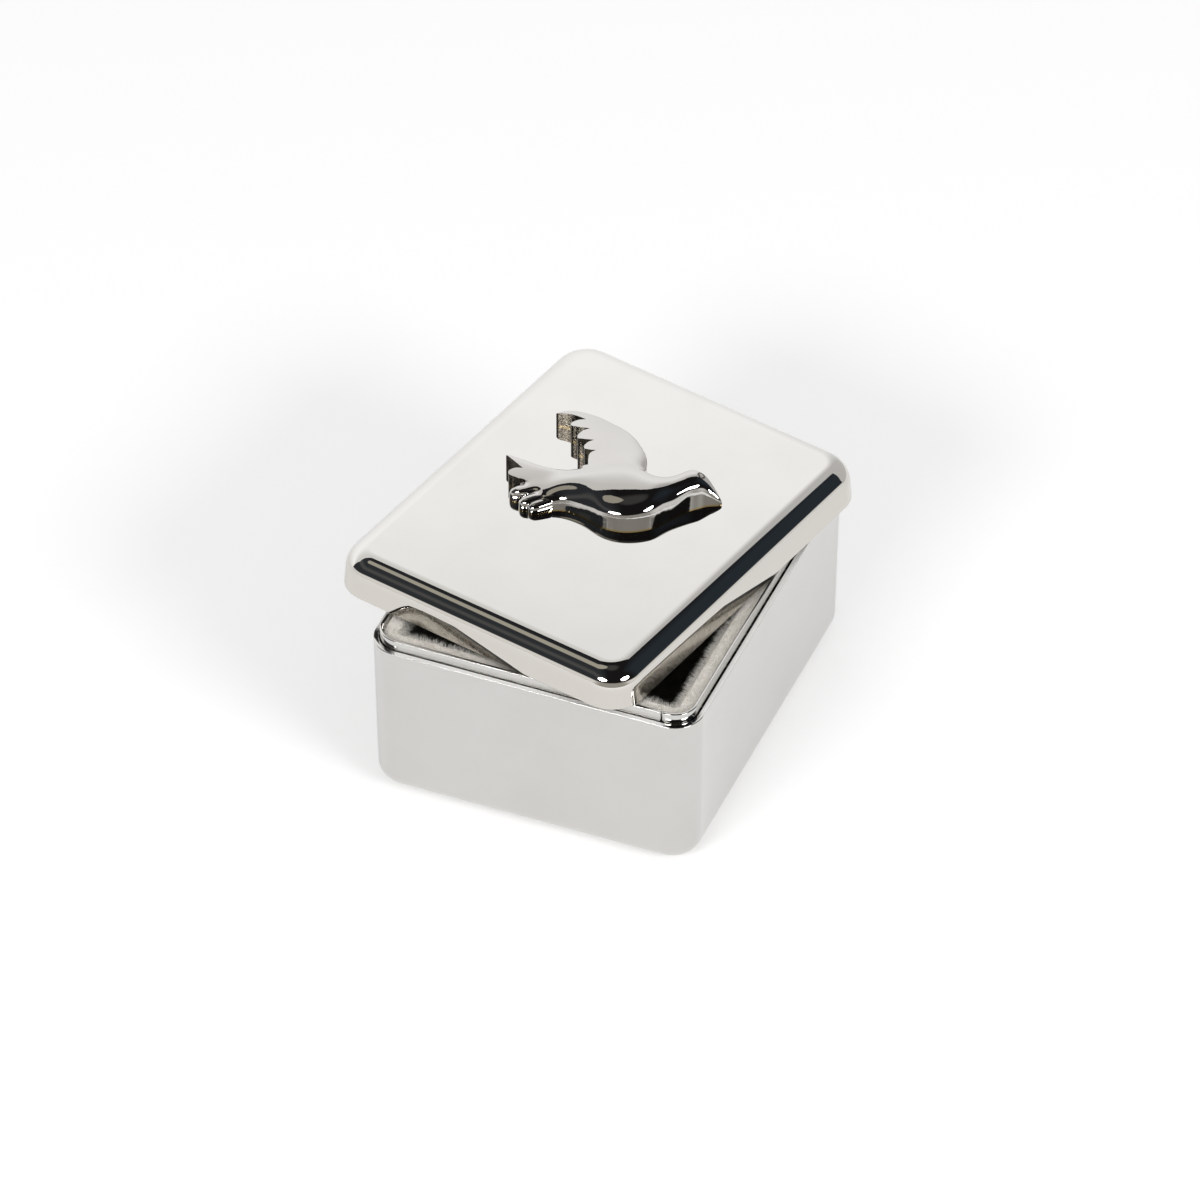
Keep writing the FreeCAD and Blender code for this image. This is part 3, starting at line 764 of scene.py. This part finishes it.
TAIL_OUTLINE = (
    ((-2.0, 0.0), "VECTOR"), ((-3.0, 4.4), "AUTO"), ((-6.0, 4.6), "AUTO"), ((-9.7, 5.6), "AUTO"),
    ((-13.2, 7.3), "AUTO"), ((-16.6, 8.6), "VECTOR"), ((-17.6, 5.0), "VECTOR"), ((-16.6, 2.6), "VECTOR"),
    ((-12.0, 1.3), "VECTOR"), ((-10.0, -1.5), "VECTOR"), ((-6.0, -1.5), "VECTOR"),
)
TAIL_NOTCHES = (
    ((-16.5, 8.2), "VECTOR"), ((-13.5, 5.0), "VECTOR"), ((-15.1, 4.9), "AUTO"),
    ((-15.9, 3.9), "AUTO"), ((-14.4, 2.8), "AUTO"), ((-12.3, 1.9), "VECTOR"), ((-14.2, 1.7), "VECTOR"),
    ((-20.0, 1.7), "VECTOR"), ((-20.0, 9.0), "VECTOR"), ((-17.5, 9.0), "VECTOR"),
)
SECTION_STEPS = 20
STATION_STEPS = 4
BELOW_LID = 2.0
OUTLINE_STEPS = 10
CUT_DEPTH = 10
MERGE = 0.001
DOVE_VOXEL = 0.13
VOXEL_PASSES = 10
SMOOTHING = 0.5
ROOT_LOW = Vector((-13.0, -1.5))
ROOT_HIGH = Vector((9.5, 13.0))
ROOT_ABOVE = 2.4
ROOT_FACING = 0.35
ROOT_PASSES = ((0.0, 130), (0.8, 30), (1.6, 30), (2.4, 20), (12.0, 30))
EYE_ABOVE = 1.0
EYE_PLACE = Vector((17.2, 3.7))
EYE_RADIUS = 0.6
EYE_GROOVE = 0.2
EYE_STEPS = 40
GROOVE_STEPS = 10


def through(stations):
    """Stations that run smoothly through the given ones, several to each gap."""
    ends = [stations[0], *stations, stations[-1]]
    line = []
    for a, b, c, d in zip(ends, ends[1:], ends[2:], ends[3:]):
        for step in range(STATION_STEPS):
            t = step / STATION_STEPS
            line.append([
                q + t / 2 * (r - p + t * (2 * p - 5 * q + 4 * r - s + t * (3 * (q - r) + s - p)))
                for p, q, r, s in zip(a, b, c, d)
            ])
    return [*line, stations[-1]]


def half_section(crest, foot, height, share, lean):
    """From the foot up to the crest: a straight flank that leans in, and a dome that runs on from it."""
    side = math.copysign(1, foot - crest)
    half = abs(foot - crest)
    crown = (1 - share) * height
    shoulder = half - lean * share * height
    start = math.asin(crown * lean / (shoulder - crown * lean))
    tall = crown / (1 - math.sin(start))
    wide = shoulder / math.cos(start)
    line = [(foot + side * lean * BELOW_LID, -BELOW_LID)]
    for step in range(SECTION_STEPS + 1):
        turn = start + (math.pi / 2 - start) * step / SECTION_STEPS
        line.append((crest + side * wide * math.cos(turn), height - tall + tall * math.sin(turn)))
    return line


def loft(name, stations):
    """A closed form through sections across the flight."""
    mesh = bmesh.new()
    rings = []
    for along, front, crest, back, height, share, lean in through(stations):
        near_side = half_section(crest, front, height, share, lean)
        far_side = half_section(crest, back, height, share, lean)
        line = near_side + far_side[-2::-1]
        rings.append([mesh.verts.new((along, across, up)) for across, up in line])
    for ring, following in zip(rings, rings[1:]):
        for corner in range(len(ring)):
            before = corner - 1
            mesh.faces.new((ring[before], ring[corner], following[corner], following[before]))
    mesh.faces.new(rings[0])
    mesh.faces.new(rings[-1])
    bmesh.ops.recalc_face_normals(mesh, faces=mesh.faces)
    part = bpy.data.objects.new(name, bpy.data.meshes.new(name))
    mesh.to_mesh(part.data)
    mesh.free()
    bpy.context.collection.objects.link(part)
    make_active(part)
    return part


def cut_to_outline(part, outline, operation="INTERSECT", finish=None):
    """Object mode: cuts a form straight down along an outline, and gives the cut its finish."""
    drawing = bpy.data.curves.new("outline", "CURVE")
    drawing.dimensions = "2D"
    drawing.fill_mode = "BOTH"
    drawing.resolution_u = OUTLINE_STEPS
    drawing.extrude = CUT_DEPTH
    line = drawing.splines.new("BEZIER")
    line.bezier_points.add(len(outline) - 1)
    for point, ((u, v), bend) in zip(line.bezier_points, outline):
        point.co = (u, v, 0)
        point.handle_left_type = bend
        point.handle_right_type = bend
    line.use_cyclic_u = True
    cutter = bpy.data.objects.new("outline", drawing)
    bpy.context.collection.objects.link(cutter)
    make_active(cutter)
    bpy.ops.object.convert(target="MESH")
    bpy.ops.object.mode_set(mode="EDIT")
    bpy.ops.mesh.select_all(action="SELECT")
    bpy.ops.mesh.remove_doubles(threshold=MERGE)
    bpy.ops.mesh.normals_make_consistent(inside=False)
    bpy.ops.object.mode_set(mode="OBJECT")
    cutter.data.materials.append(finish)
    make_active(part)
    apply_modifier(
        part, "BOOLEAN", operation=operation, object=cutter, solver="EXACT", material_mode="TRANSFER"
    )
    bpy.data.objects.remove(cutter)


CAST_SILVER = (0.53, 0.518, 0.505, 1)
CAST_DULL = (0.51, 0.496, 0.48, 1)
CONTACT_GOLD = (0.52, 0.40, 0.20, 1)
WEAR_IN_CUTS = 0.45
CUT_SHADE_PALE = (0.26, 0.235, 0.195, 1)
CUT_SHADE_DARK = (0.09, 0.078, 0.065, 1)
CUT_SPREAD = (0.35, 0.7)
CUT_ROUGH = 0.22
CUT_GRAIN = 0.16
CUT_STRENGTH = 0.5
CUT_RELIEF = 0.05 * MM
WORN_FROM = 0.1 * MM
WORN_TO = 0.45 * MM
WORN_ROUGH = 0.05
RIPPLES_PER_METRE = 1400
RIPPLE_STRENGTH = 0.1
RIPPLE_DEPTH = 0.03 * MM
cast_plate, wire, place, colour, rough = silver_plate("silver_plate_on_casting", CAST_SILVER, CAST_DULL)


def worn_foot(place):
    """Where the plate is worn to brass, along the casting's foot on the lid."""
    return 1 - height_in(place).step(lid_high.z + WORN_FROM, lid_high.z + WORN_TO)


worn = worn_foot(place)
ripple = relief(noise(place, RIPPLES_PER_METRE, detail=1), RIPPLE_STRENGTH, RIPPLE_DEPTH)
close_finish(wire, mirror(wire, worn.mix(colour, CONTACT_GOLD), rough + WORN_ROUGH * worn, Normal=ripple))

# The plate in the feather cuts is painted dark, as painted shade between the feathers; near the foot some
# of the worn brass shows in it.
cut_painted_shade, wire = new_finish("plate_in_the_feather_cuts")
place = wire.node("ShaderNodeTexCoord", out="Object")
grain = noise(place, 2 * RIPPLES_PER_METRE, detail=3)
colour = grain.step(*CUT_SPREAD).mix(CUT_SHADE_DARK, CUT_SHADE_PALE)
colour = (WEAR_IN_CUTS * worn_foot(place)).mix(colour, CONTACT_GOLD)
pitted = relief(grain, CUT_STRENGTH, CUT_RELIEF)
close_finish(wire, mirror(wire, colour, CUT_ROUGH + CUT_GRAIN * grain, Normal=pitted))

wing = loft("wing", WING_STATIONS)
wing.rotation_euler.z = math.pi / 2
bpy.ops.object.transform_apply(rotation=True)
cut_to_outline(wing, WING_OUTLINE)
tail = loft("tail", TAIL_STATIONS)
cut_to_outline(tail, TAIL_OUTLINE)
limbs = [wing, tail]
for root, tip, height in FINGERS:
    finger = loft("finger", FINGER_STATIONS)
    run = Vector(tip) - Vector(root)
    finger.scale = Vector((run.length / FINGER_STATIONS[-1][0], 1, height))
    finger.rotation_euler.z = math.atan2(run.y, run.x)
    finger.location = Vector((*root, 0))
    bpy.ops.object.transform_apply(location=True, rotation=True, scale=True)
    limbs.append(finger)
dove = loft("dove_bird", TRUNK_STATIONS)
for limb in limbs:
    limb.select_set(True)
bpy.ops.object.join()
apply_modifier(dove, "REMESH", mode="VOXEL", voxel_size=DOVE_VOXEL, use_smooth_shade=True)
apply_modifier(dove, "SMOOTH", factor=SMOOTHING, iterations=VOXEL_PASSES)
bpy.ops.object.mode_set(mode="EDIT")


def wing_root(margin):
    """A test for the top side near where wing and tail leave the body, with a margin round it."""
    def wanted(vertex):
        u, v, w = vertex.co
        near_u = ROOT_LOW.x - margin < u < ROOT_HIGH.x + margin
        near_v = ROOT_LOW.y - margin < v < ROOT_HIGH.y + margin
        return near_u and near_v and w > ROOT_ABOVE and vertex.normal.z > ROOT_FACING
    return wanted


for margin, repeat in ROOT_PASSES:
    select(dove, "VERT", wing_root(margin))
    bpy.ops.mesh.vertices_smooth(factor=SMOOTHING, repeat=repeat)
bpy.ops.object.mode_set(mode="OBJECT")
paint(dove, cast_plate)
cut_to_outline(dove, WING_NOTCHES, "DIFFERENCE", cut_painted_shade)
cut_to_outline(dove, TAIL_NOTCHES, "DIFFERENCE", cut_painted_shade)

top_side = [vertex for vertex in dove.data.vertices if vertex.co.z > EYE_ABOVE]
eye = min(top_side, key=lambda vertex: (vertex.co.xy - EYE_PLACE).length)
bpy.ops.object.select_all(action="DESELECT")
bpy.ops.mesh.primitive_torus_add(
    major_radius=EYE_RADIUS, minor_radius=EYE_GROOVE, major_segments=EYE_STEPS,
    minor_segments=GROOVE_STEPS, location=eye.co,
    rotation=eye.normal.to_track_quat("Z", "Y").to_euler(),
)
ring = bpy.context.object
# The eye's groove is painted dark with the cuts' painted shade.
paint(ring, cut_painted_shade)
make_active(dove)
apply_modifier(
    dove, "BOOLEAN", operation="DIFFERENCE", object=ring, solver="EXACT", material_mode="TRANSFER"
)
bpy.data.objects.remove(ring)
bpy.ops.object.mode_set(mode="EDIT")
bpy.ops.mesh.select_all(action="SELECT")
bpy.ops.mesh.bisect(plane_co=(0, 0, 0), plane_no=(0, 0, 1), use_fill=True, clear_inner=True)
bpy.ops.object.mode_set(mode="OBJECT")
bpy.ops.object.shade_smooth_by_angle(angle=CREASE)
dove.scale = Vector((MM, MM, MM))
bpy.ops.object.transform_apply(scale=True)
dove.location.z = lid_high.z
bpy.ops.object.transform_apply(location=True)
lay_on_collar(dove, DOVE_TURN)

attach(dove, "lid")
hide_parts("dove")

# The camera: it stands in front of the box and to its right, and looks down on it. Its long lens keeps
# the box's far edges nearly as long as its near ones.
CAMERA_TURN = math.radians(22.14)
CAMERA_RISE = math.radians(40.49)
CAMERA_AWAY = 1979.89 * MM
CAMERA_AIM = Vector((-2.222, 1.582, 21.126)) * MM
CAMERA_LENS = 346.23
CLIP_RANGE = 10
level_back = Vector((math.sin(CAMERA_TURN), -math.cos(CAMERA_TURN), 0))
level_right = Vector((math.cos(CAMERA_TURN), math.sin(CAMERA_TURN), 0))
camera_back = level_back * math.cos(CAMERA_RISE) + Vector((0, 0, math.sin(CAMERA_RISE)))
bpy.ops.object.camera_add(location=CAMERA_AIM + camera_back * CAMERA_AWAY)
camera = bpy.context.object
camera.rotation_euler = (-camera_back).to_track_quat("-Z", "Y").to_euler()
camera.data.lens = CAMERA_LENS
camera.data.clip_start = CAMERA_AWAY / CLIP_RANGE
camera.data.clip_end = CAMERA_AWAY * CLIP_RANGE
scene = bpy.context.scene
scene.camera = camera
scene.view_settings.view_transform = "Standard"

# The floor: a wide pale sheet that the box stands on. It is white to the camera and to the mirror
# metal, and keeps the box's soft shadow.
FLOOR_SIZE = 40.0
FLOOR_WHITE = (0.9, 0.9, 0.9, 1)
FLOOR_GLOW = 0.3
FLOOR_GAP = 0.02 * MM
bpy.ops.object.select_all(action="DESELECT")
bpy.ops.mesh.primitive_plane_add(size=FLOOR_SIZE, location=(0, 0, cad_box[0][2] - FLOOR_GAP))
studio_floor = bpy.context.object
studio_floor.name = "studio_floor"
floor_finish, wire = new_finish("studio_paper")
ray = wire.node("ShaderNodeLightPath", out="Is Camera Ray")
seen = ray + ray.sibling("Is Glossy Ray") + ray.sibling("Is Transmission Ray")
glow = wire.node("ShaderNodeEmission", inputs={"Color": FLOOR_WHITE, "Strength": FLOOR_GLOW * seen})
lit = wire.node("ShaderNodeBsdfDiffuse", inputs={"Color": FLOOR_WHITE})
close_finish(wire, wire.node("ShaderNodeAddShader", inputs={0: lit, 1: glow}))
paint(studio_floor, floor_finish)

# The paper sweep: a lit white sheet close behind the box, which the lid's top mirrors. Only the metal
# sees it, so that it stands in no other view and throws no shadow.
SWEEP_AWAY = 0.17
SWEEP_TOP = 0.355
SWEEP_ROLL = math.radians(-10)
SWEEP_WIDTH = 1.6
SWEEP_HEIGHT = 0.9
SWEEP_STRENGTH = 1.38
SWEEP_SIDE = (0.5, 0.49, 0.48, 1)
SWEEP_TO_SIDE = (0.036, 0.13)
SWEEP_SHADES = (
    (-0.036, (0.80, 0.80, 0.785, 1)), (0.0, (0.845, 0.845, 0.835, 1)), (0.03, (0.915, 0.915, 0.91, 1)),
    (0.062, (0.96, 0.96, 0.96, 1)), (0.11, (1.0, 1.0, 1.0, 1)), (0.143, (0.945, 0.945, 0.94, 1)),
    (0.203, (0.785, 0.78, 0.765, 1)), (0.272, (0.69, 0.68, 0.655, 1)),
)
SWEEP_LOW = SWEEP_SHADES[0][0]
SWEEP_REACH = SWEEP_SHADES[-1][0] - SWEEP_LOW


def part_along(way, direction):
    """How far a place or a ray goes along a direction."""
    settings = {"operation": "DOT_PRODUCT"}
    return way.node("ShaderNodeVectorMath", settings, {0: way, 1: direction}, out="Value")


sweep_turn = level_back.to_track_quat("Z", "Y") @ Quaternion((0, 0, 1), SWEEP_ROLL)
sweep_up = sweep_turn @ Vector((0, 1, 0))
sweep_middle = Vector((lid_middle.x, lid_middle.y, lid_high.z)) - level_back * SWEEP_AWAY
sweep_middle += sweep_up * (SWEEP_TOP - SWEEP_HEIGHT / 2)
bpy.ops.object.select_all(action="DESELECT")
bpy.ops.mesh.primitive_plane_add(size=1, location=sweep_middle, rotation=sweep_turn.to_euler())
paper_sweep = bpy.context.object
paper_sweep.name = "paper_sweep"
paper_sweep.scale = Vector((SWEEP_WIDTH, SWEEP_HEIGHT, 1))
bpy.ops.object.transform_apply(location=True, rotation=True, scale=True)
paper_sweep.visible_camera = False
paper_sweep.visible_diffuse = False
paper_sweep.visible_shadow = False
sweep_finish, wire = new_finish("lit_paper")
place = wire.node("ShaderNodeTexCoord", out="Object")
above_lid = height_in(place) - lid_high.z
stops = [((height - SWEEP_LOW) / SWEEP_REACH, shade) for height, shade in SWEEP_SHADES]
shade = wire.node("ShaderNodeValToRGB", {"stops": stops}, {"Fac": (above_lid - SWEEP_LOW) / SWEEP_REACH})
shade = part_along(place, level_right).step(*SWEEP_TO_SIDE).mix(shade, SWEEP_SIDE)
close_finish(wire, wire.node("ShaderNodeEmission", inputs={"Color": shade, "Strength": SWEEP_STRENGTH}))
paint(paper_sweep, sweep_finish)

# The room: dark beyond the paper, with a low white band at the sides, a pale round reflector overhead
# on the left, and two soft lamps on the camera's side.
PANEL_COLOUR = (0.50, 0.47, 0.39, 1)
PANEL_RIGHT = -0.39
PANEL_BACK = 0.06
PANEL_HALF_WIDTH = 0.27
PANEL_HALF_LENGTH = 0.18
PANEL_EDGE = (0.85, 1.1)
ROOM_SHADES = (
    (0.25, (0.038, 0.042, 0.047, 1)), (0.42, (0.014, 0.013, 0.013, 1)), (0.70, (0.014, 0.013, 0.013, 1)),
    (0.86, (0.028, 0.036, 0.046, 1)),
)
ROOM_AHEAD = 0.75
ROOM_GLOW = (0.10, 0.10, 0.10, 1)
GLOW_FROM = (0.45, 0.6)
GLOW_TO = (0.62, 0.75)
GLOW_RIGHT = (-0.6, -0.2)
CEILING = (0.065, 0.063, 0.06, 1)
CEILING_EDGE = (0.01, 0.09)
LOWEST_RISE = 0.1
BAND_SIDES = (1.0, 0.985, 0.955, 1)
BAND_FRONT = (0.44, 0.42, 0.38, 1)
BAND_TOP = 0.104
BAND_SLOPE = 0.26
BAND_EDGE = (-0.03, 0.03)
BAND_TO_FRONT = (0.5, 0.85)
SOFT_FILL = (0.5, 0.5, 0.5, 1)
world = bpy.data.worlds.new("studio")
scene.world = world
world.use_nodes = True
world.node_tree.nodes.clear()
wire = Wire(world.node_tree)
look = wire.node("ShaderNodeTexCoord", out="Generated")
rise = part_along(look, (0, 0, 1))
away = part_along(look, -level_back)
right = part_along(look, level_right)
band = (BAND_TOP - BAND_SLOPE * away - rise).step(*BAND_EDGE)
band_shade = (-1.0 * away).step(*BAND_TO_FRONT).mix(BAND_SIDES, BAND_FRONT)
over = wire.math("MAXIMUM", rise, LOWEST_RISE)
aside = right / over
ahead = away / over
panel_right = (aside - PANEL_RIGHT) / PANEL_HALF_WIDTH
panel_back = (ahead - PANEL_BACK) / PANEL_HALF_LENGTH
panel = 1 - (panel_right * panel_right + panel_back * panel_back).step(*PANEL_EDGE)
glow = rise.step(*GLOW_FROM) * (1 - rise.step(*GLOW_TO)) * (1 - right.step(*GLOW_RIGHT))
round_room = 0.5 + 0.5 * wire.math("MINIMUM", right, away + ROOM_AHEAD)
room = wire.node("ShaderNodeValToRGB", {"stops": ROOM_SHADES}, {"Fac": round_room})
room = glow.mix(room, ROOM_GLOW)
room = (aside * aside + ahead * ahead).step(*CEILING_EDGE).mix(CEILING, room)
shade = band.mix(panel.mix(room, PANEL_COLOUR), band_shade)
fill = wire.node("ShaderNodeLightPath", out="Is Diffuse Ray")
shade = fill.mix(shade, SOFT_FILL)
background = wire.node("ShaderNodeBackground", inputs={"Color": shade})
wire.node("ShaderNodeOutputWorld", inputs={"Surface": background})

LAMPS = ((-30, 31.5), (44, 31))
LAMP_POWER = 9.0
LAMP_AWAY = 1.6
LAMP_WIDTH = 0.70
LAMP_HEIGHT = 0.36
for turn, lift in LAMPS:
    turn = math.radians(turn)
    lift = math.radians(lift)
    level = level_back * math.cos(turn) + level_right * math.sin(turn)
    towards = level * math.cos(lift) + Vector((0, 0, math.sin(lift)))
    bpy.ops.object.light_add(type="AREA", location=towards * LAMP_AWAY)
    lamp = bpy.context.object
    lamp.rotation_euler = (-towards).to_track_quat("-Z", "Y").to_euler()
    lamp.data.shape = "ELLIPSE"
    lamp.data.size = LAMP_WIDTH
    lamp.data.size_y = LAMP_HEIGHT
    lamp.data.energy = LAMP_POWER
